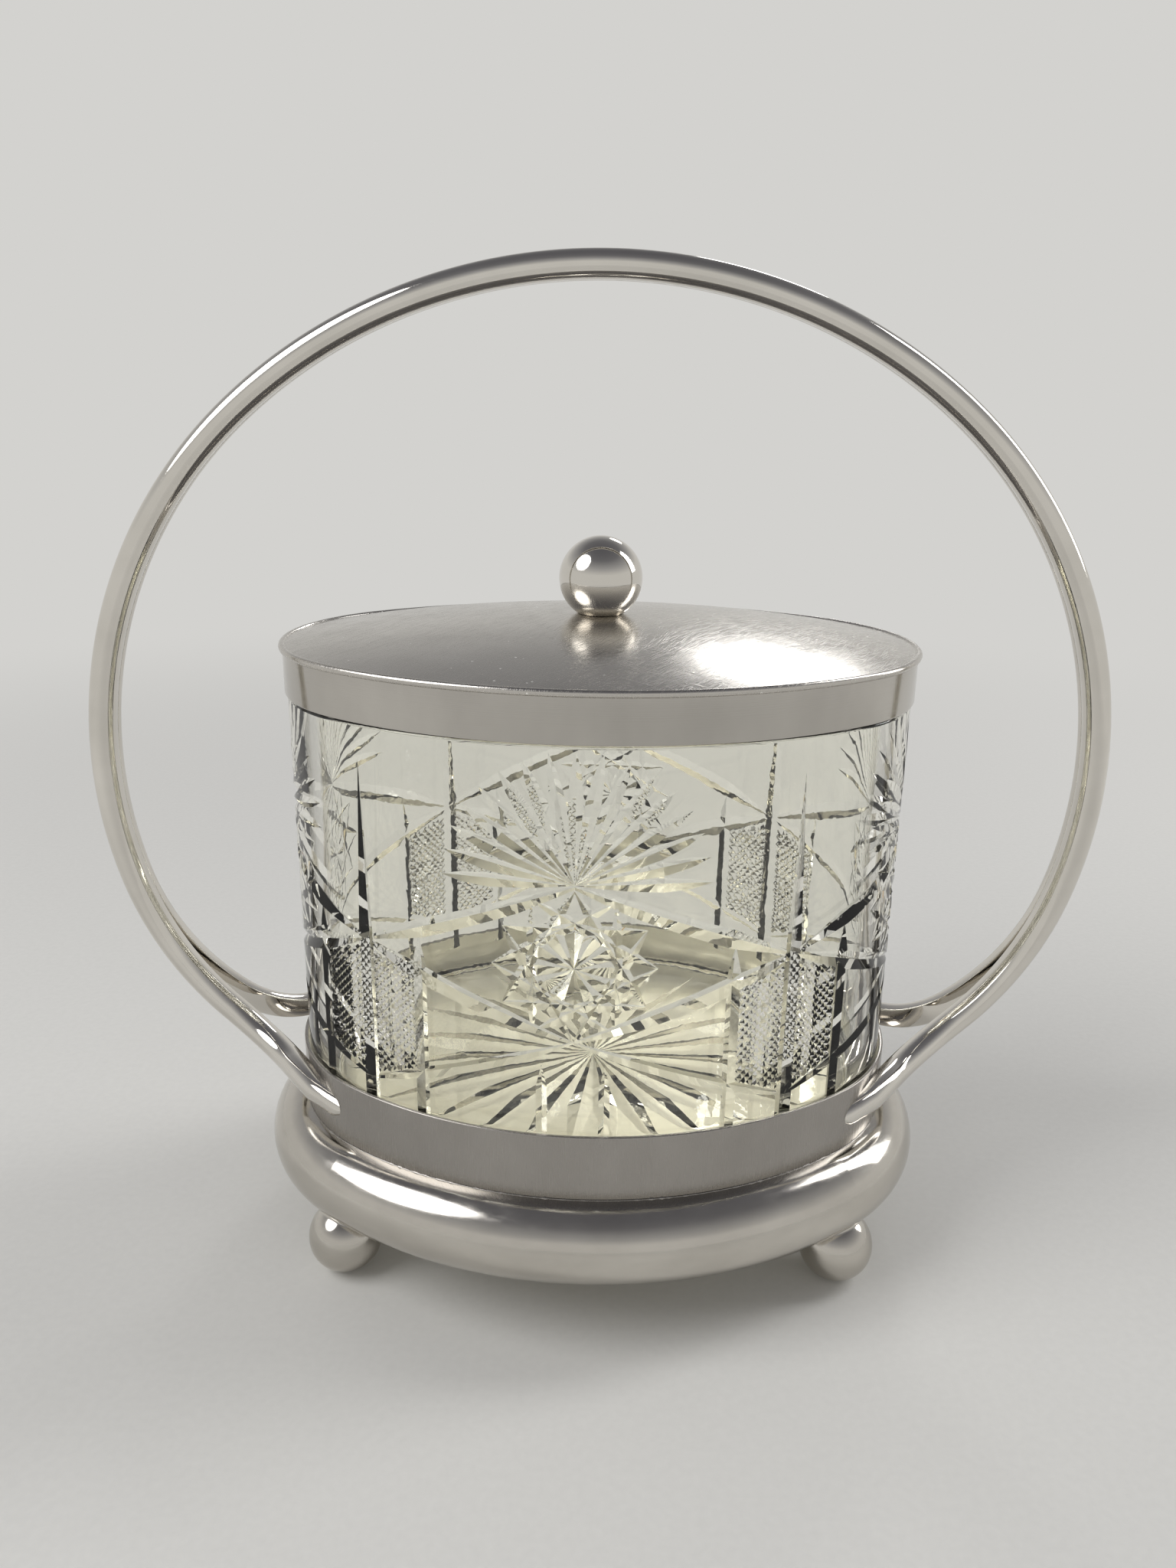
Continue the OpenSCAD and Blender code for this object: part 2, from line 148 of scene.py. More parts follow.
class Skin:
    """A mesh in the making, in millimetres, with a normal for each corner of each face."""

    def __init__(self):
        self.points, self.index, self.faces, self.normals = [], {}, [], []
        self.paint, self.paints = 0, []

    def corner(self, point):
        key = tuple(round(c, 4) for c in point)
        if key not in self.index:
            self.index[key] = len(self.points)
            self.points.append(Vector(point))
        return self.index[key]

    def face(self, points, normals):
        corners, kept = [], []
        for point, normal in zip(points, normals):
            k = self.corner(point)
            if k not in corners:
                corners.append(k)
                kept.append(normal)
        if len(corners) > 2:
            self.faces.append(corners)
            self.normals += kept
            self.paints.append(self.paint)

    def piece(self, name, body, slot, material, *replaced):
        mesh = bpy.data.meshes.new(name)
        mesh.from_pydata([p * MM for p in self.points], [], self.faces)
        mesh.shade_smooth()
        mesh.normals_split_custom_set([n.normalized() for n in self.normals])
        mesh.materials.append(material)
        obj = bpy.data.objects.new(name, mesh)
        put(obj)
        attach(obj, body)
        if replaced:
            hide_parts(*replaced)
        return obj


def profile_normals(profile, closed):
    """For each leg of a profile, the normals at its start and end, smooth except at a crease."""
    crease = math.radians(38)
    count = len(profile) - (0 if closed else 1)
    legs = []
    for j in range(count):
        (o0, z0), (o1, z1) = profile[j], profile[(j + 1) % len(profile)]
        legs.append(Vector((z1 - z0, o0 - o1)).normalized())

    def shared(a, b):
        soft = a.angle(b) < crease
        return ((a + b).normalized(),) * 2 if soft else (a, b)

    pairs = []
    for j, leg in enumerate(legs):
        before = legs[j - 1] if closed or j else leg
        after = legs[(j + 1) % count] if closed or j < count - 1 else leg
        pairs.append((shared(before, leg)[1], shared(leg, after)[0]))
    return pairs


def add_ring(skin, profile, spots=ring_spots, closed=False):
    """The surface that (offset, height) points leave round the oval, facing right of their way."""
    pairs = profile_normals(profile, closed)
    for i, spot in enumerate(spots):
        after = spots[(i + 1) % len(spots)]
        for j, (n0, n1) in enumerate(pairs):
            p0, p1 = profile[j], profile[(j + 1) % len(profile)]
            skin.face([wall_point(spot, *p0), wall_point(after, *p0),
                       wall_point(after, *p1), wall_point(spot, *p1)],
                      [wall_turn(spot, 0, *n0), wall_turn(after, 0, *n0),
                       wall_turn(after, 0, *n1), wall_turn(spot, 0, *n1)])


def arc(o, z, r, start, end, steps):
    """Points of a profile along an arc, with its ends, from one angle in degrees to another."""
    turns = [math.radians(start + (end - start) * i / steps) for i in range(steps + 1)]
    return [(o + r * math.cos(t), z + r * math.sin(t)) for t in turns]


# ---- materials -----------------------------------------------------------------------------

def linear(colour):
    """An sRGB hex colour as linear values with alpha."""
    parts = [int(colour[i:i + 2], 16) / 255 for i in (1, 3, 5)]
    return [c / 12.92 if c <= 0.04045 else ((c + 0.055) / 1.055) ** 2.4 for c in parts] + [1.0]


def add(tree, kind, inputs=None, **settings):
    """Adds a node with its settings, and sets or links its inputs."""
    node = tree.nodes.new("ShaderNode" + kind)
    for name, value in settings.items():
        setattr(node, name, value)
    for name, value in (inputs or {}).items():
        if isinstance(value, bpy.types.NodeSocket):
            tree.links.new(value, node.inputs[name])
        else:
            node.inputs[name].default_value = value
    return node


def new_material(name):
    """An empty material and its node tree."""
    material = bpy.data.materials.new(name)
    material.use_nodes = True
    material.node_tree.nodes.clear()
    return material, material.node_tree


def per_mm(size):
    """The scale of a texture whose grain is this many millimetres."""
    return 1 / (size * MM)


def drawn(tree, place, grain, turn=0.0, detail=3.0):
    """Noise with a grain of so many millimetres along x, y and z, turned about the upright."""
    laid = add(tree, "Mapping", {"Vector": place, "Rotation": (0, 0, math.radians(turn)),
                                 "Scale": [size * MM for size in grain]}, vector_type="TEXTURE")
    noise = add(tree, "TexNoise", {"Vector": laid.outputs["Vector"], "Scale": 1.0,
                                   "Detail": detail, "Roughness": 0.6})
    return noise.outputs["Fac"]


def spread(tree, value, low, high, to_low, to_high):
    """Carries the part of a value between low and high over to another range."""
    return add(tree, "MapRange", {"Value": value, "From Min": low, "From Max": high,
                                  "To Min": to_low, "To Max": to_high}).outputs["Result"]


def joined(tree, operation, one, other):
    """Two values brought together by the operation of a Math node."""
    return add(tree, "Math", {0: one, 1: other}, operation=operation).outputs[0]


def two_tone(tree, share, dark, light):
    """A colour that wanders between two hex colours."""
    return add(tree, "MixRGB", {"Fac": share, "Color1": linear(dark),
                                "Color2": linear(light)}).outputs["Color"]


def metal_surface(tree, colour, rough, *bumps):
    """A bare metal surface; each bump is a height and how deep it goes, in millimetres."""
    normal = None
    for height, depth in bumps:
        inputs = {"Height": height, "Strength": 1.0, "Distance": depth * MM}
        if normal:
            inputs["Normal"] = normal
        normal = add(tree, "Bump", inputs).outputs["Normal"]
    metal = add(tree, "BsdfPrincipled", {"Base Color": colour, "Metallic": 1.0,
                                         "Roughness": rough, "Normal": normal})
    add(tree, "OutputMaterial", {"Surface": metal.outputs["BSDF"]})


def buffed_plate():
    """Silver plate buffed on a mop: a mirror that swells a little, with faint polishing haze."""
    material, tree = new_material("silver_plate_mop_buffed")
    place = add(tree, "TexCoord").outputs["Object"]
    bloom = drawn(tree, place, (24, 24, 16))
    tone = two_tone(tree, bloom, "#d0ccc4", "#eae6df")
    haze = drawn(tree, place, (5, 5, 0.5), detail=6.0)
    rough = spread(tree, haze, 0.35, 0.75, 0.03, 0.12)
    metal_surface(tree, tone, rough, (drawn(tree, place, (15, 15, 11), detail=1.0), 0.05),
                  (drawn(tree, place, (6, 6, 0.35), detail=2.0), 0.0012))
    return material


def satin_plate():
    """Silver plate rubbed upwards with a fine abrasive: a soft grey sheen with upright lines."""
    material, tree = new_material("silver_plate_satin_rubbed")
    place = add(tree, "TexCoord").outputs["Object"]
    patches = drawn(tree, place, (19, 19, 30))
    tone = two_tone(tree, patches, "#96928d", "#b0aca7")
    lines = drawn(tree, place, (0.16, 0.16, 8))
    rough = spread(tree, lines, 0.3, 0.75, 0.22, 0.30)
    metal_surface(tree, tone, rough, (drawn(tree, place, (26, 26, 14), detail=1.0), 0.10),
                  (lines, 0.0003))
    return material


def worn_plate():
    """Silver plate buffed along the ring and handled since: its mirror is softened by haze."""
    material, tree = new_material("silver_plate_ring_buffed")
    place = add(tree, "TexCoord").outputs["Object"]
    tone = two_tone(tree, drawn(tree, place, (21, 21, 9)), "#b9b4ac", "#d9d5cd")
    haze = drawn(tree, place, (6, 6, 1.2), detail=6.0)
    lines = drawn(tree, place, (11, 11, 0.25))
    metal_surface(tree, tone, spread(tree, haze, 0.3, 0.75, 0.07, 0.20),
                  (drawn(tree, place, (18, 18, 9), detail=1.0), 0.09), (lines, 0.0015))
    return material


def lined_plate():
    """Silver plate polished along the band on a belt: mirror-like, drawn out in level lines."""
    material, tree = new_material("silver_plate_belt_lined")
    place = add(tree, "TexCoord").outputs["Object"]
    patches = drawn(tree, place, (17, 17, 30))
    tone = two_tone(tree, patches, "#aeaaa4", "#cbc7c0")
    lines = drawn(tree, place, (14, 14, 0.16), detail=4.0)
    rough = spread(tree, lines, 0.35, 0.75, 0.06, 0.20)
    metal_surface(tree, tone, rough, (drawn(tree, place, (21, 21, 18), detail=1.0), 0.08),
                  (lines, 0.003))
    return material


def wiped_plate():
    """Silver plate worn by years of wiping: bent hair scratches and a few pinhead pits."""
    material, tree = new_material("silver_plate_wipe_scratched")
    place = add(tree, "TexCoord").outputs["Object"]
    bend = add(tree, "TexNoise", {"Vector": place, "Scale": per_mm(45), "Detail": 0.0})
    sway = add(tree, "VectorMath", {0: bend.outputs["Color"], 1: (0.5, 0.5, 0.5)},
               operation="SUBTRACT").outputs[0]
    sway = add(tree, "VectorMath", {0: sway, 3: 14 * MM}, operation="SCALE").outputs[0]
    bent = add(tree, "VectorMath", {0: place, 1: sway}, operation="ADD").outputs[0]
    # Each way of wiping: its turn in degrees, the width of its scratches, and how sparse they are.
    wipes = ((54, 0.22, 0.63), (44, 0.28, 0.65), (62, 0.20, 0.64), (-30, 0.22, 0.67))
    scratch_len, scratch_edge = 7.0, 0.08
    marks = None
    for turn, width, sparse in wipes:
        line = drawn(tree, bent, (scratch_len, width, 40), turn, 0.0)
        line = spread(tree, line, sparse, sparse + scratch_edge, 0, 1)
        marks = line if marks is None else joined(tree, "MAXIMUM", marks, line)
    cells = add(tree, "TexVoronoi", {"Vector": place, "Scale": per_mm(3.4)})
    pits = spread(tree, cells.outputs["Distance"], 0.05, 0.09, 1, 0)
    patches = drawn(tree, place, (22, 15, 30))
    tone = two_tone(tree, patches, "#bbb7b0", "#d3cfc9")
    tone = add(tree, "MixRGB", {"Fac": pits, "Color1": tone,
                                "Color2": linear("#f4f2ee")}).outputs["Color"]
    fog = spread(tree, drawn(tree, place, (9, 9, 30), detail=4.0), 0.3, 0.75, 0.15, 0.22)
    rough = joined(tree, "ADD", fog, spread(tree, marks, 0, 1, 0, 0.12))
    rough = joined(tree, "ADD", rough, spread(tree, pits, 0, 1, 0, 0.3))
    metal_surface(tree, tone, rough, (drawn(tree, place, (28, 28, 30), detail=1.0), 0.10),
                  (marks, -0.004), (pits, 0.02))
    return material


def matt_plate():
    """Silver straight from the plating bath, never polished: white and frosty, under the glass."""
    material, tree = new_material("silver_plate_unpolished")
    place = add(tree, "TexCoord").outputs["Object"]
    tone = two_tone(tree, drawn(tree, place, (18, 18, 18)), "#f4efe0", "#fdfbf3")
    grain = drawn(tree, place, (0.6, 0.6, 0.6), detail=4.0)
    metal_surface(tree, tone, spread(tree, grain, 0.3, 0.7, 0.38, 0.55), (grain, 0.01))
    return material


def turned_brass():
    """Brass turned and filed, dulled to brown yellow, with the fine rings of the tool."""
    material, tree = new_material("brass_turned_dull")
    place = add(tree, "TexCoord").outputs["Object"]
    tone = two_tone(tree, drawn(tree, place, (2, 2, 2)), "#8a6a32", "#b8934e")
    rings = drawn(tree, place, (4, 4, 0.2))
    metal_surface(tree, tone, spread(tree, rings, 0.3, 0.7, 0.25, 0.42), (rings, 0.02))
    return material


def cut_glass():
    """Clear crystal glass, cut on a wheel and acid polished: bright, with a faint warm cast."""
    material, tree = new_material("crystal_cut_polished")
    place = add(tree, "TexCoord").outputs["Object"]
    wheel = add(tree, "TexNoise", {"Vector": place, "Scale": per_mm(3.5), "Detail": 2.0})
    bump = add(tree, "Bump", {"Height": wheel.outputs["Fac"], "Strength": 0.04,
                              "Distance": 0.3 * MM})
    rough = spread(tree, wheel.outputs["Fac"], 0, 1, 0.0, 0.02)
    glass = add(tree, "BsdfPrincipled", {"Base Color": linear("#fdfdf8"),
                                         "Roughness": rough, "IOR": 1.52,
                                         "Transmission Weight": 1.0,
                                         "Normal": bump.outputs["Normal"]})
    body = add(tree, "VolumeAbsorption", {"Color": linear("#fdf6de"), "Density": 8.0})
    add(tree, "OutputMaterial", {"Surface": glass.outputs["BSDF"],
                                 "Volume": body.outputs["Volume"]})
    return material


buffed = buffed_plate()
satin = satin_plate()
worn = worn_plate()
lined = lined_plate()
wiped = wiped_plate()
matt = matt_plate()
brass = turned_brass()
glass = cut_glass()


# ---- the stand's handle --------------------------------------------------------------------

rod_w = 6.35
rod_t = 4.75
hoop_reach = span("handle_front_rod")[1].x - rod_w / 2
hoop_top = span("handle_front_rod")[1].z - rod_w / 2
hoop_z = foot_level + 86.3
hoop_side_r = 111.0
rod_round = 0.15

# The front right rod's way down: where it leaves the hoop, swings through and ends on the collar.
fork_start = math.radians(16)
swing_place = Vector((half_len + collar_in + collar_wall + 18.6, -3.1, foot_level + 20.5))
tip_turn = math.radians(49)
tip_up = 7.8
tip_dip = math.radians(15.5)
tip_in = 0.8
tip_share = 1.34

# The tip is filed down to tip_w by tip_t over its slope, and rounded off over its last bit.
tip_slope = 9.0
tip_w = 4.5
tip_t = 1.4
tip_round = 2.2
least_w_share = 0.03
least_t_share = 0.12

rod_pitch = 2.5
tip_pitch = rod_pitch / 8


class Arc:
    """A circular arc in space from a start, which carries the rod's back along with it."""

    def __init__(self, centre, axis, angle, start, back):
        self.centre, self.axis, self.angle, self.start, self.back = centre, axis, angle, start, back

    def turned(self, v, share):
        return Quaternion(self.axis, self.angle * share) @ v

    def station(self, share):
        """The place, the back's direction and the way along, at a share of the arc."""
        spoke = self.turned(self.start - self.centre, share)
        return (self.centre + spoke, self.turned(self.back, share),
                self.axis.cross(spoke).normalized())

    def stations(self, pitch):
        steps = math.ceil((self.start - self.centre).length * self.angle / pitch)
        return [self.station((i + 1) / steps) for i in range(steps)]


def arc_to(start, way, end, back):
    """The arc that leaves start along way and reaches end."""
    chord = end - start
    angle = 2 * way.angle(chord)
    axis = way.cross(chord).normalized()
    centre = start + axis.cross(way) * chord.length / (2 * math.sin(angle / 2))
    return Arc(centre, axis, angle, start, back)


def knee(p, way_p, q, way_q, share):
    """Where two arcs meet smoothly between p and q; share sets the first arc's part."""
    v = q - p
    a = 2 * share * (way_p.dot(way_q) - 1)
    b = -2 * v.dot(share * way_p + way_q)
    leg = (-b - math.sqrt(b * b - 4 * a * v.dot(v))) / (2 * a)
    m, n = p + share * leg * way_p, q - leg * way_q
    return m + (n - m) * share / (1 + share)


def half_rod():
    """Stations of the front rod's flat face from the hoop's top to the right tip on the collar."""
    side_x = hoop_reach - hoop_side_r
    rise = hoop_top - hoop_z
    top_r = (side_x ** 2 + rise ** 2 - hoop_side_r ** 2) / (2 * (rise - hoop_side_r))
    side_turn = math.atan2(top_r - rise, side_x)
    back = Vector((0, -1, 0))
    axis = Vector((0, 1, 0))
    top_c = Vector((0, 0, hoop_top - top_r))
    side_centre = Vector((side_x, 0, hoop_z))
    top_arc = Arc(top_c, axis, math.pi / 2 - side_turn, Vector((0, 0, hoop_top)), back)
    side_arc = Arc(side_centre, axis, side_turn + fork_start, top_arc.station(1)[0], back)
    part_place, _, part_way = side_arc.station(1)
    swing_arc = arc_to(part_place, part_way, swing_place, back)
    _, swing_back, swing_way = swing_arc.station(1)
    reach = end_r + collar_in + collar_wall - tip_in
    tip = Vector((end_c + reach * math.cos(tip_turn), -reach * math.sin(tip_turn),
                  foot_level + tip_up))
    tip_way = Vector((-math.sin(tip_turn) * math.cos(tip_dip),
                      -math.cos(tip_turn) * math.cos(tip_dip), -math.sin(tip_dip)))
    knee_place = knee(swing_place, swing_way, tip, tip_way, tip_share)
    bend_arc = arc_to(swing_place, swing_way, knee_place, swing_back)
    _, bend_back, bend_way = bend_arc.station(1)
    tip_arc = arc_to(knee_place, bend_way, tip, bend_back)
    run = [top_arc.station(0)]
    for part in (top_arc, side_arc, swing_arc, bend_arc):
        run += part.stations(rod_pitch)
    return run + tip_arc.stations(tip_pitch)


def rod_section(width, thick):
    """The rod's section as (across, out): a flat face with eased corners and a half-round back."""
    half = width / 2
    ease_r = min(rod_round, half / 2, thick / 3)
    side = max(thick - half, ease_r * 1.5)
    ease = [(half - ease_r + ease_r * math.sin(t), ease_r - ease_r * math.cos(t))
            for t in (0, math.pi / 4, math.pi / 2)]
    steps = 20
    turns = [math.pi * i / steps for i in range(steps + 1)]
    crown = [(half * math.cos(t), side + (thick - side) * math.sin(t)) for t in turns]
    return ease + crown + [(-x, y) for x, y in reversed(ease)]


def handle_rod(name, mirror_y):
    """One of the two rods, the whole way from tip to tip."""
    right = half_rod()
    lengths = [0.0]
    for (p, *_), (q, *_) in zip(right[:-1], right[1:]):
        lengths.append(lengths[-1] + (q - p).length)
    whole = lengths[-1]
    skin = Skin()
    rings = []
    for (place, back, way), done in zip(right, lengths):
        left = whole - done
        near = max(0.0, 1 - left / tip_slope)
        width = rod_w + (tip_w - rod_w) * near ** 2
        thick = rod_t + (tip_t - rod_t) * near
        blunt = max(0.0, 1 - left / tip_round)
        width *= max(math.sqrt(1 - blunt ** 2), least_w_share)
        thick *= max(math.sqrt(1 - blunt ** 2), least_t_share)
        across = way.cross(back)
        section = rod_section(width, thick)
        legs = profile_normals(section, True)
        normals = [(n0 + legs[j - 1][1]).normalized() for j, (n0, _) in enumerate(legs)]
        ring = [(place + x * across + y * back, -n.x * across - n.y * back)
                for (x, y), n in zip(section, normals)]
        rings.append(ring)

    def flip(v, x, y):
        return Vector((v.x * x, v.y * y, v.z))

    y = -1 if mirror_y else 1
    for x in (1, -1):
        for a, b in zip(rings[:-1], rings[1:]):
            for j in range(len(a)):
                k = (j + 1) % len(a)
                quad = [a[j], a[k], b[k], b[j]]
                if x * y < 0:
                    quad.reverse()
                skin.face([flip(p, x, y) for p, _ in quad], [flip(n, x, y) for _, n in quad])
        cap = [flip(p, x, y) for p, _ in (rings[-1] if x * y > 0 else rings[-1][::-1])]
        way = flip(right[-1][2], x, y)
        skin.face(cap, [way] * len(cap))
    return skin.piece(name, "stand", "polished_plate", buffed, name.replace("_smooth", ""))


handle_rod("handle_front_rod_smooth", False)
handle_rod("handle_back_rod_smooth", True)


# ---- the glass -----------------------------------------------------------------------------

PANEL_COLUMNS = 50
column = panel_w / PANEL_COLUMNS
pattern_s = -4.5
glass_spots = [wall_spot(pattern_s + column * i) for i in range(4 * PANEL_COLUMNS)]
half_panel_w = panel_w / 2
wall_low = foot_level + 1.2
wall_high = shoulder - 0.9
cut_low = collar_top - 3
# The glass stands a hair over the plate, so that no two faces share a place.
plate_gap = 0.15
# How far each wheel stands out of the wall, so that it cuts right through the face.
CLEAR = 0.6

# The pattern's places: across from the panel's middle, and up from the table.
LOZENGE_TOP, LOZENGE_SIDE, LOZENGE_LOW = 114.0, 94.7, 77.3
PEAK_SIDE = 58.9
TALL_CUT, LOW_CUT = 35.5, 7.0
FAN_MIDDLE, FAN_RAYS, FAN_STEP = (0, 114.5), 9, 11.25
STAR_MIDDLE, STAR_RAYS, STAR_RING = (0, 95.2), 12, 9.0
HATCH_CORNERS = ((37.4, 65.2), (48.0, 61.2), (48.0, 92.0), (37.4, 88.0))
HATCH_ACROSS, HATCH_UP, HATCH_PITCH = 42.7, 76.6, 2.0


def stations(start, end, widths):
    """Places (across, up, width) on the way from start to end, from (share, width) pairs."""
    return [(*Vector(start).lerp(Vector(end), share), width) for share, width in widths]


def ray(centre, angle, widths):
    """Places (across, up, width) along a ray from a centre, from (distance, width) pairs."""
    way = Vector((math.cos(math.radians(angle)), math.sin(math.radians(angle))))
    return [(*(Vector(centre) + way * reach), width) for reach, width in widths]


def mitre(places, lean=30.0):
    """The wedge that a V-edged wheel takes out along its places, as an object."""
    slope = math.tan(math.radians(lean))
    way = Vector(places[-1][:2]) - Vector(places[0][:2])
    side = way.normalized().orthogonal()
    shape = bmesh.new()
    for u, z, width in places:
        shape.verts.new((u, z, -width / 2 * slope))
        for hand in (1, -1):
            reach = hand * (width / 2 + CLEAR / slope)
            shape.verts.new((u + side.x * reach, z + side.y * reach, CLEAR))
    hull = bmesh.ops.convex_hull(shape, input=shape.verts)
    spare = {v for key in ("geom_interior", "geom_unused") for v in hull[key]
             if isinstance(v, bmesh.types.BMVert)}
    bmesh.ops.delete(shape, geom=list(spare), context="VERTS")
    bmesh.ops.recalc_face_normals(shape, faces=shape.faces)
    mesh = bpy.data.meshes.new("mitre")
    shape.to_mesh(mesh)
    shape.free()
    return bpy.data.objects.new("mitre", mesh)


def fan():
    """Half of the fan of long rays on the lozenge's top corner."""
    widths = [(0, 0), (9, 2.0), (19, 3.3), (25, 2.2), (29.4, 0)]
    return [mitre(ray(FAN_MIDDLE, FAN_STEP * i, widths)) for i in range(FAN_RAYS)]


def hobstar():
    """The twelve-pointed star in the lozenge: a ring of crossing cuts round twelve short rays."""
    crossing = [(-15.6, 0.3), (-9, 2.4), (0, 2.7), (9, 2.4), (15.6, 0.3)]
    short_ray = [(0, 0), (8.0, 4.2), (10.4, 0)]
    cuts = []
    for i in range(STAR_RAYS):
        turn = 360 / STAR_RAYS * i
        touch = ray(STAR_MIDDLE, turn, [(STAR_RING, 0)])[0][:2]
        cuts.append(mitre(ray(touch, turn + 90, crossing)))
        cuts.append(mitre(ray(STAR_MIDDLE, turn, short_ray)))
    return cuts


def clipped(corners, start, way):
    """The part of a line inside a convex outline that runs anticlockwise, as two points."""
    near, far = -1e9, 1e9
    for a, b in zip(corners, corners[1:] + corners[:1]):
        inward = Vector((a.y - b.y, b.x - a.x))
        depth, rate = inward.dot(start - a), inward.dot(way)
        if rate > 0:
            near = max(near, -depth / rate)
        else:
            far = min(far, -depth / rate)
    return start + way * near, start + way * far


def hatch():
    """Fine diamonds between the tall upright cut and the pillar."""
    corners = [Vector(p) for p in HATCH_CORNERS]
    width, shortest, lines = 1.36, 0.8, 12
    cuts = []
    for slant in (1, -1):
        for i in range(-lines, lines + 1):
            start = Vector((HATCH_ACROSS, HATCH_UP + HATCH_PITCH * i))
            a, b = clipped(corners, start, Vector((1, slant)))
            if b.x - a.x > shortest:
                cuts.append(mitre(stations(a, b, [(0, width), (1, width)]), lean=40.0))
    return cuts


def upright(across, *places):
    """An upright cut, from (height, width) pairs."""
    return mitre([(across, up, width) for up, width in places])


def long_cuts():
    """The cuts that frame the panel: lozenge, pillar, uprights and the peak below."""
    edge = half_panel_w
    return [
        mitre(stations((0, LOZENGE_TOP), (edge, LOZENGE_SIDE),
                       [(0, 0.8), (0.25, 3.6), (0.7, 4.4), (1, 0.6)])),
        mitre(stations((0, LOZENGE_LOW), (edge, LOZENGE_SIDE),
                       [(0, 0.6), (0.3, 3.6), (0.72, 4.6), (1, 0.8)])),
        mitre(stations((0, LOZENGE_LOW), (edge, PEAK_SIDE),
                       [(0, 0.5), (0.25, 2.6), (0.7, 3.0), (1, 0.8)])),
        upright(edge, (137.0, 0), (95.0, 4.2), (62.0, 4.5), (cut_low, 4.3)),
        upright(TALL_CUT, (99.0, 0), (92.0, 3.4), (cut_low, 3.4)),
        upright(LOW_CUT, (71.5, 0), (66.0, 2.5), (cut_low, 2.5)),
    ]


def cut_half_panel():
    """The face of half a panel with its cuts, laid flat: (points, normal) of each triangle."""
    depth = 4.0
    weld, touching, split_gap = 0.001, 0.002, 0.0005
    flat = math.radians(0.4)
    shape = bmesh.new()
    bmesh.ops.create_cube(shape, size=1, matrix=Matrix.LocRotScale(
        Vector((half_panel_w / 2, (wall_low + wall_high) / 2, -depth / 2)), None,
        Vector((half_panel_w, wall_high - wall_low, depth))))
    mesh = bpy.data.meshes.new("slab")
    shape.to_mesh(mesh)
    shape.free()
    slab = bpy.data.objects.new("slab", mesh)
    tools = bpy.data.collections.new("cuts")
    bpy.context.scene.collection.children.link(tools)
    for tool in fan() + hobstar() + hatch() + long_cuts():
        tools.objects.link(tool)
    put(slab)
    cutting = slab.modifiers.new("cut", "BOOLEAN")
    cutting.operation = "DIFFERENCE"
    cutting.operand_type = "COLLECTION"
    cutting.collection = tools
    cutting.solver = "MANIFOLD"
    bpy.context.view_layer.update()
    done = slab.evaluated_get(bpy.context.evaluated_depsgraph_get())
    shape = bmesh.new()
    shape.from_mesh(done.to_mesh())
    for obj in [slab, *tools.objects]:
        old = obj.data
        bpy.data.objects.remove(obj)
        bpy.data.meshes.remove(old)
    bpy.data.collections.remove(tools)

    bmesh.ops.remove_doubles(shape, verts=shape.verts, dist=weld)
    bmesh.ops.dissolve_limit(shape, angle_limit=flat, verts=shape.verts, edges=shape.edges)
    sides = ((0, 0.0), (0, half_panel_w), (1, wall_low), (1, wall_high), (2, -depth))
    walls = [f for f in shape.faces
             if any(all(abs(v.co[k] - level) < touching for v in f.verts) for k, level in sides)]
    bmesh.ops.delete(shape, geom=walls, context="FACES")
    for i in range(1, PANEL_COLUMNS // 2):
        bmesh.ops.bisect_plane(shape, geom=[*shape.verts, *shape.edges, *shape.faces],
                               dist=split_gap, plane_co=(column * i, 0, 0), plane_no=(1, 0, 0))
    bmesh.ops.triangulate(shape, faces=shape.faces)
    shape.normal_update()
    faces = [([tuple(v.co) for v in f.verts], f.normal.copy()) for f in shape.faces]
    shape.free()
    return faces


def wrap(skin, faces, panel, hand):
    """Bends half a panel round the wall, to the right of the panel's middle or mirrored."""
    snap_share, snap_out = 0.001, 0.0005
    for points, normal in faces:
        bent, normals = [], []
        for u, z, out in points:
            share = u / column
            if abs(share - round(share)) < snap_share:
                share = round(share)
            if abs(out) <= snap_out:
                out = 0
            spot = wall_spot(pattern_s + column * (PANEL_COLUMNS * panel + hand * share))
            bent.append(wall_point(spot, glass_o + out, round(z, 4)))
            normals.append(wall_turn(spot, hand * normal.x, normal.z, normal.y))
        if hand < 0:
            bent.reverse()
            normals.reverse()
        skin.face(bent, normals)


def zip_loops(skin, inner, outer, normal):
    """The flat ground between two loops, each in order of angle round the middle."""
    def angle(p):
        return math.atan2(p.y, p.x) % (2 * math.pi)

    inner, outer = sorted(inner, key=angle), sorted(outer, key=angle)
    i = j = 0
    while i < len(inner) or j < len(outer):
        p, q = inner[i % len(inner)], outer[j % len(outer)]
        next_p, next_q = inner[(i + 1) % len(inner)], outer[(j + 1) % len(outer)]
        far_p = angle(next_p) + (2 * math.pi if i + 1 >= len(inner) else 0)
        far_q = angle(next_q) + (2 * math.pi if j + 1 >= len(outer) else 0)
        if j >= len(outer) or (i < len(inner) and far_p < far_q):
            skin.face([p, next_p, q], [normal] * 3)
            i += 1
        else:
            skin.face([p, next_q, q], [normal] * 3)
            j += 1


def reach_to(angle, o):
    """The distance from the middle to the oval at an offset, in a direction."""
    low, high, halvings = 0.0, half_len * 2, 40
    way = Vector((abs(math.cos(angle)), abs(math.sin(angle))))
    for _ in range(halvings):
        middle = (low + high) / 2
        p = way * middle
        beside = Vector((p.x - end_c, p.y))
        if beside.x > 0 and beside.y < beside.x * 4 / 3:
            outside = beside.length > end_r + o
        else:
            outside = Vector((p.x, p.y + side_c)).length > side_r + o
        low, high = (low, middle) if outside else (middle, high)
    return low


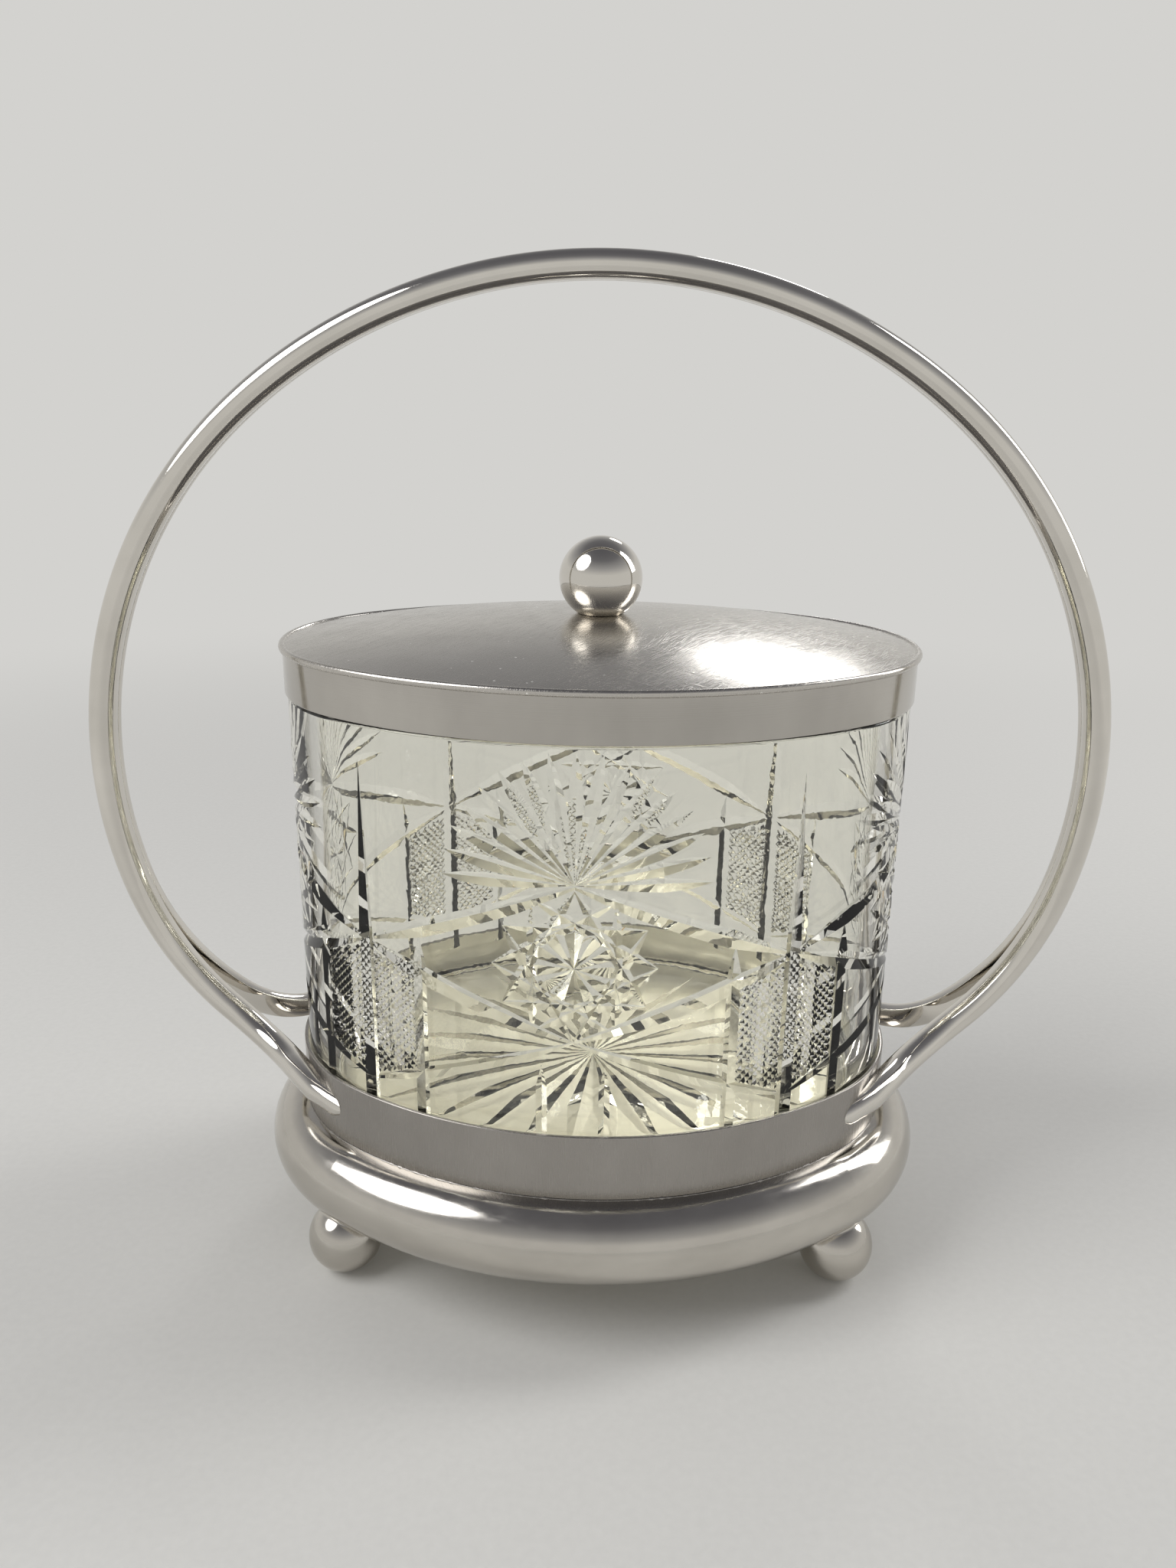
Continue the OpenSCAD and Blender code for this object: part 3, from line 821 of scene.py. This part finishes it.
def base_star(skin, level, edge_o):
    """The star under the floor: kite-shaped mitre cuts that meet in the middle."""
    rays, margin, slope, centre_deep = 24, 7.5, 0.42, 0.5
    keel_share, ridge_share = 0.5, 0.52

    def place(angle, reach, z):
        return Vector((reach * math.cos(angle), reach * math.sin(angle), z))

    tips, ridges, keels = [], [], []
    for i in range(rays):
        angle = 2 * math.pi * (i + 0.5) / rays
        tip = reach_to(angle, glass_o - margin)
        tips.append(place(angle, tip, level))
        keel = keel_share * tip
        keels.append(place(angle, keel, level + keel * math.pi / rays * slope))
        angle += math.pi / rays
        ridges.append(place(angle, ridge_share * reach_to(angle, glass_o - margin), level))
    centre = Vector((0, 0, level + centre_deep))
    for i in range(rays):
        tip, keel, after, before = tips[i], keels[i], ridges[i], ridges[i - 1]
        for corners in ((centre, after, keel), (centre, keel, before),
                        (tip, keel, after), (tip, before, keel)):
            normal = (corners[1] - corners[0]).cross(corners[2] - corners[0])
            skin.face(corners, [normal] * 3)
    loop = [wall_point(spot, edge_o, level) for spot in glass_spots]
    zip_loops(skin, [p for pair in zip(tips, ridges) for p in pair], loop, Vector((0, 0, -1)))


def glass_jar():
    """The whole jar: cut wall, ground shoulder and neck, hollow, and the star under its floor."""
    skin = Skin()
    faces = cut_half_panel()
    for panel in range(4):
        wrap(skin, faces, panel, 1)
        wrap(skin, faces, panel, -1)
    shoulder_r, notch_r, notch_up, rim_r, lip_r = 0.8, 0.5, 0.4, 0.6, 0.8
    floor_z = foot_level + floor_thick
    underside = foot_level + plate_gap
    edge = wall_low - underside
    add_ring(skin, arc(glass_o - shoulder_r, wall_high, shoulder_r, 0, 90, 4)
             + arc(neck_o + notch_r, shoulder + notch_up, notch_r, 270, 180, 3)
             + arc(neck_o - rim_r, neck_top - rim_r, rim_r, 0, 90, 4)
             + arc(inside_o + lip_r, neck_top - lip_r, lip_r, 90, 180, 4)
             + arc(inside_o - floor_round, floor_z + floor_round, floor_round, 0, -90, 12),
             glass_spots)
    middle = [wall_point(spot, inside_o - floor_round, floor_z) for spot in glass_spots]
    skin.face(middle, [Vector((0, 0, 1))] * len(middle))
    add_ring(skin, arc(glass_o - edge, wall_low, edge, -90, 0, 4), glass_spots)
    base_star(skin, underside, glass_o - edge)
    jar = skin.piece("glass_jar_cut", "jar", "cut_glass", glass, "glass_jar")
    # Light goes through clear glass, so the jar casts none of the shadow on its own floor.
    jar.visible_shadow = False


glass_jar()


# ---- collar and lid -------------------------------------------------------------------------

moulding_r = (moulding_high.z - moulding_low.z) / 2
moulding_z = (moulding_high.z + moulding_low.z) / 2
moulding_o = moulding_high.x - moulding_r - half_len
collar_o = collar_in + collar_wall
EDGE = 0.3


def on_moulding(o):
    """The height of the moulding's face at an offset near its crown."""
    return moulding_z + math.sqrt(moulding_r ** 2 - (o - moulding_o) ** 2)


def collar():
    """The collar with eased edges, and the thin uneven line of solder at its foot."""
    skin = Skin()
    seam_z = on_moulding(collar_o)
    add_ring(skin, [(collar_o - EDGE, seam_z), (collar_o, seam_z + EDGE)]
             + arc(collar_o - EDGE, collar_top - EDGE, EDGE, 0, 90, 4)
             + arc(collar_in + EDGE, collar_top - EDGE, EDGE, 90, 180, 4))
    # The inside is left as it came from the bath.
    skin.paint = 1
    add_ring(skin, [(collar_in, collar_top - EDGE), (collar_in, foot_level),
                    (collar_o - EDGE, seam_z)])
    skin.paint = 0
    fine = ring_steps * 2
    solder_r, lump_r, bead_steps = 0.16, 0.34, 5
    tide = random.Random(7)
    lumps = [tide.random() ** 4 for _ in range(fine)]
    for i in range(fine):
        rings = []
        for k in (i, (i + 1) % fine):
            spot = wall_spot(4 * panel_w * k / fine)
            size = solder_r + lump_r * lumps[k]
            rings.append([(wall_point(spot, o, z), wall_turn(spot, 0, o - collar_o, z - seam_z))
                          for o, z in arc(collar_o, seam_z, size, -60, 120, bead_steps)])
        a, b = rings
        for j in range(bead_steps):
            corners = [a[j], b[j], b[j + 1], a[j + 1]]
            skin.face([p for p, _ in corners], [n for _, n in corners])
    band = skin.piece("collar_band_soldered", "stand", "satin_plate", satin, "collar_band")
    band.data.materials.append(matt)
    band.data.polygons.foreach_set("material_index", skin.paints)
    return band


def lid_band():
    """The lid's upright band, eased at its foot, with the lip that is turned in under it."""
    wall, lip_w, lip_h = 0.9, 1.2, 1.0
    skin = Skin()
    add_ring(skin, arc(-EDGE, shoulder + EDGE, EDGE, -90, 0, 4)
             + [(0, band_top), (-wall, band_top), (-wall, shoulder + lip_h),
                (-wall - lip_w, shoulder + lip_h), (-wall - lip_w, shoulder)], closed=True)
    return skin.piece("lid_band_eased", "lid", "polished_plate", lined, "lid_band")


def lid_dome():
    """The pressed dome: one smooth swell inside a rolled edge."""
    sheet, bead, top_o, under_o = 1.1, 0.85, -0.25, -1.0
    steps, crowding, eye = 28, 1.15, 0.985
    rise = dome_top - band_top - bead * 1.5
    along_r = (half_len ** 2 + rise ** 2) / (2 * rise)
    across_r = (half_wid ** 2 + rise ** 2) / (2 * rise)

    def swell(p, deep):
        arm = along_r - across_r + math.sqrt((across_r - deep) ** 2 - p.y ** 2)
        up = math.sqrt(arm ** 2 - p.x ** 2)
        share = 1 - (along_r - across_r) / arm
        return (Vector((p.x, p.y, dome_top - along_r + up)),
                Vector((p.x * share, p.y, up * share)).normalized())

    skin = Skin()
    shares = [1 - eye * (k / steps) ** crowding for k in range(steps + 1)]
    for side, o, deep in ((1, top_o, 0.0), (-1, under_o, sheet)):
        edge = [wall_point(spot, o, 0) for spot in ring_spots]
        rings = [[swell(p * share, deep) for p in edge] for share in shares]
        for a, b in zip(rings[:-1], rings[1:]):
            for i in range(len(edge)):
                k = (i + 1) % len(edge)
                corners = [a[i], a[k], b[k], b[i]][::side]
                skin.face([p for p, _ in corners], [n * side for _, n in corners])
        last = rings[-1][::side]
        skin.face([p for p, _ in last], [n * side for _, n in last])
    add_ring(skin, arc(0, band_top + bead, bead, 0, 330, 11), closed=True)
    return skin.piece("lid_dome_pressed", "lid", "polished_plate", wiped, "lid_dome")


FEET = ("foot_front_left", "foot_front_right", "foot_back_left", "foot_back_right")
foot_wear = 0.2


def foot_necks():
    """The hollow-sided neck of solder that runs from each ball foot on to the moulding."""
    neck_r, around, along, halvings = 1.3, 64, 8, 30
    skin = Skin()
    for name in FEET:
        low, high = span(name)
        foot_r = (high.x - low.x) / 2
        foot = Vector(((low.x + high.x) / 2, (low.y + high.y) / 2, foot_r - foot_wear))
        bend = Vector((math.copysign(end_c, foot.x), 0, moulding_z))

        def rolled(turn, tilt):
            """Where a ball that touches the foot lies, and the tube's middle nearest to it."""
            way = Vector((math.sin(tilt) * math.cos(turn), math.sin(tilt) * math.sin(turn),
                          math.cos(tilt)))
            ball = foot + way * (foot_r + neck_r)
            spoke = Vector((ball.x - bend.x, ball.y - bend.y, 0)).normalized()
            return ball, bend + spoke * (end_r + moulding_o)

        rings = []
        for i in range(around):
            turn = 2 * math.pi * i / around
            near, far = 0.0, math.pi / 2
            for _ in range(halvings):
                tilt = (near + far) / 2
                ball, tube = rolled(turn, tilt)
                if (ball - tube).length < moulding_r + neck_r:
                    near = tilt
                else:
                    far = tilt
            start, end = (foot - ball).normalized(), (tube - ball).normalized()
            ring = [start.slerp(end, j / along) for j in range(along + 1)]
            rings.append([(ball + way * neck_r, -way) for way in ring])
        for a, b in zip(rings, rings[1:] + rings[:1]):
            for j in range(along):
                corners = [a[j], b[j], b[j + 1], a[j + 1]]
                skin.face([p for p, _ in corners], [n for _, n in corners])
    return skin.piece("foot_solder_necks", "stand", "polished_plate", worn)


collar()
foot_necks()
lid_band()
lid_dome()


# ---- metal pieces that the CAD shapes well ---------------------------------------------------

for material, names in ((worn, ("base_moulding", *FEET)), (buffed, ("finial_ball",)),
                        (matt, ("base_plate",)), (brass, ("finial_stud", "finial_nut"))):
    for name in names:
        for material_slot in nodes[name].material_slots:
            material_slot.material = material


# ---- camera, floor and light ----------------------------------------------------------------

FRAME_HIGH = 2048
LENS_PIXELS = 1559.6
SENSOR = 36.0
camera_place = Vector((-0.63, -282.62, 211.8)) * MM
camera_pitch = math.radians(-18.02)
camera_yaw = math.radians(-0.35)
camera_roll = math.radians(0.80)

camera = bpy.data.objects.new("camera", bpy.data.cameras.new("camera"))
camera.data.sensor_width = SENSOR
camera.data.lens = SENSOR * LENS_PIXELS / FRAME_HIGH
camera.data.clip_start = 0.01
ahead = Vector((math.sin(camera_yaw) * math.cos(camera_pitch),
                math.cos(camera_yaw) * math.cos(camera_pitch), math.sin(camera_pitch)))
level = Vector((math.cos(camera_yaw), -math.sin(camera_yaw), 0))
upright = level.cross(ahead)
right_way = level * math.cos(camera_roll) + upright * math.sin(camera_roll)
up_way = upright * math.cos(camera_roll) - level * math.sin(camera_roll)
camera.matrix_world = Matrix.Translation(camera_place) @ Matrix(
    (right_way, up_way, -ahead)).transposed().to_4x4()
put(camera)
bpy.context.scene.camera = camera

BACKDROP = "#d3d2cf"
backdrop_colour = linear(BACKDROP)
floor_radius = 6.0
fade_near, fade_far = 0.25, 0.9
jar_middle = Vector((0, 0, 0.1))


def floor_paper():
    """Matt background paper: even and pale, running out into the backdrop's own tone."""
    material, tree = new_material("background_paper_matt")
    place = add(tree, "TexCoord").outputs["Object"]
    fibre = add(tree, "TexNoise", {"Vector": place, "Scale": per_mm(2.0), "Detail": 4.0})
    tone = two_tone(tree, fibre.outputs["Fac"], "#e1e0dc", "#e9e8e4")
    paper = add(tree, "BsdfDiffuse", {"Color": tone})
    far = add(tree, "VectorMath", {0: place}, operation="LENGTH")
    fade = add(tree, "MapRange", {"Value": far.outputs["Value"], "From Min": fade_near,
                                  "From Max": fade_far}, interpolation_type="SMOOTHSTEP")
    path = add(tree, "LightPath")
    seen = joined(tree, "MAXIMUM", path.outputs["Is Camera Ray"], path.outputs["Is Glossy Ray"])
    seen = joined(tree, "MAXIMUM", seen, path.outputs["Is Transmission Ray"])
    share = joined(tree, "MULTIPLY", seen, fade.outputs["Result"])
    glow = add(tree, "Emission", {"Color": backdrop_colour, "Strength": 1.0})
    mix = add(tree, "MixShader", {0: share, 1: paper.outputs["BSDF"],
                                  2: glow.outputs["Emission"]})
    add(tree, "OutputMaterial", {"Surface": mix.outputs["Shader"]})
    return material


def floor():
    """A wide round floor that the jar stands on."""
    mesh = bpy.data.meshes.new("floor")
    shape = bmesh.new()
    bmesh.ops.create_circle(shape, cap_ends=True, segments=96, radius=floor_radius)
    shape.to_mesh(mesh)
    shape.free()
    mesh.materials.append(floor_paper())
    obj = bpy.data.objects.new("floor", mesh)
    put(obj)


def studio_sky():
    """A pale horizon that dims overhead; the eye and the glass see the plain backdrop."""
    world = bpy.data.worlds.new("studio")
    world.use_nodes = True
    tree = world.node_tree
    tree.nodes.clear()
    way = add(tree, "TexCoord").outputs["Generated"]
    height = add(tree, "SeparateXYZ", {0: way}).outputs["Z"]
    share = add(tree, "MapRange", {"Value": height, "From Min": -1.0, "From Max": 1.0})
    ramp = add(tree, "ValToRGB", {"Fac": share.outputs["Result"]})
    stops = [(0.0, BACKDROP), (0.62, BACKDROP), (0.76, "#a6a6a7"), (0.9, "#737377"),
             (1.0, "#636368")]
    while len(ramp.color_ramp.elements) < len(stops):
        ramp.color_ramp.elements.new(0.5)
    for element, (place, colour) in zip(ramp.color_ramp.elements, stops):
        element.position = place
        element.color = linear(colour)
    path = add(tree, "LightPath")
    seen = joined(tree, "MAXIMUM", path.outputs["Is Camera Ray"],
                  path.outputs["Is Transmission Ray"])
    shown = add(tree, "MixRGB", {"Fac": seen, "Color1": ramp.outputs["Color"],
                                 "Color2": backdrop_colour})
    glow = add(tree, "Background", {"Color": shown.outputs["Color"], "Strength": 1.0})
    add(tree, "OutputWorld", {"Surface": glow.outputs["Background"]})
    bpy.context.scene.world = world


def softbox(name, shape, place, size, power):
    """A lamp with a wide face that is turned to the jar."""
    lamp = bpy.data.lights.new(name, "AREA")
    lamp.shape = shape
    lamp.size, lamp.size_y = size
    lamp.energy = power
    obj = bpy.data.objects.new(name, lamp)
    obj.location = place
    obj.rotation_euler = (jar_middle - Vector(place)).to_track_quat("-Z", "Y").to_euler()
    obj.visible_camera = False
    put(obj)


floor()
studio_sky()
softbox("softbox_left", "ELLIPSE", (-0.80, -0.35, 0.90), (0.8, 0.8), 6.5)
softbox("softbox_right", "RECTANGLE", (0.90, 0.25, 0.70), (0.3, 0.8), 4.2)
softbox("softbox_behind", "ELLIPSE", (0.33, 1.15, 0.84), (0.3, 0.24), 1.4)
bpy.context.scene.view_settings.view_transform = "Standard"
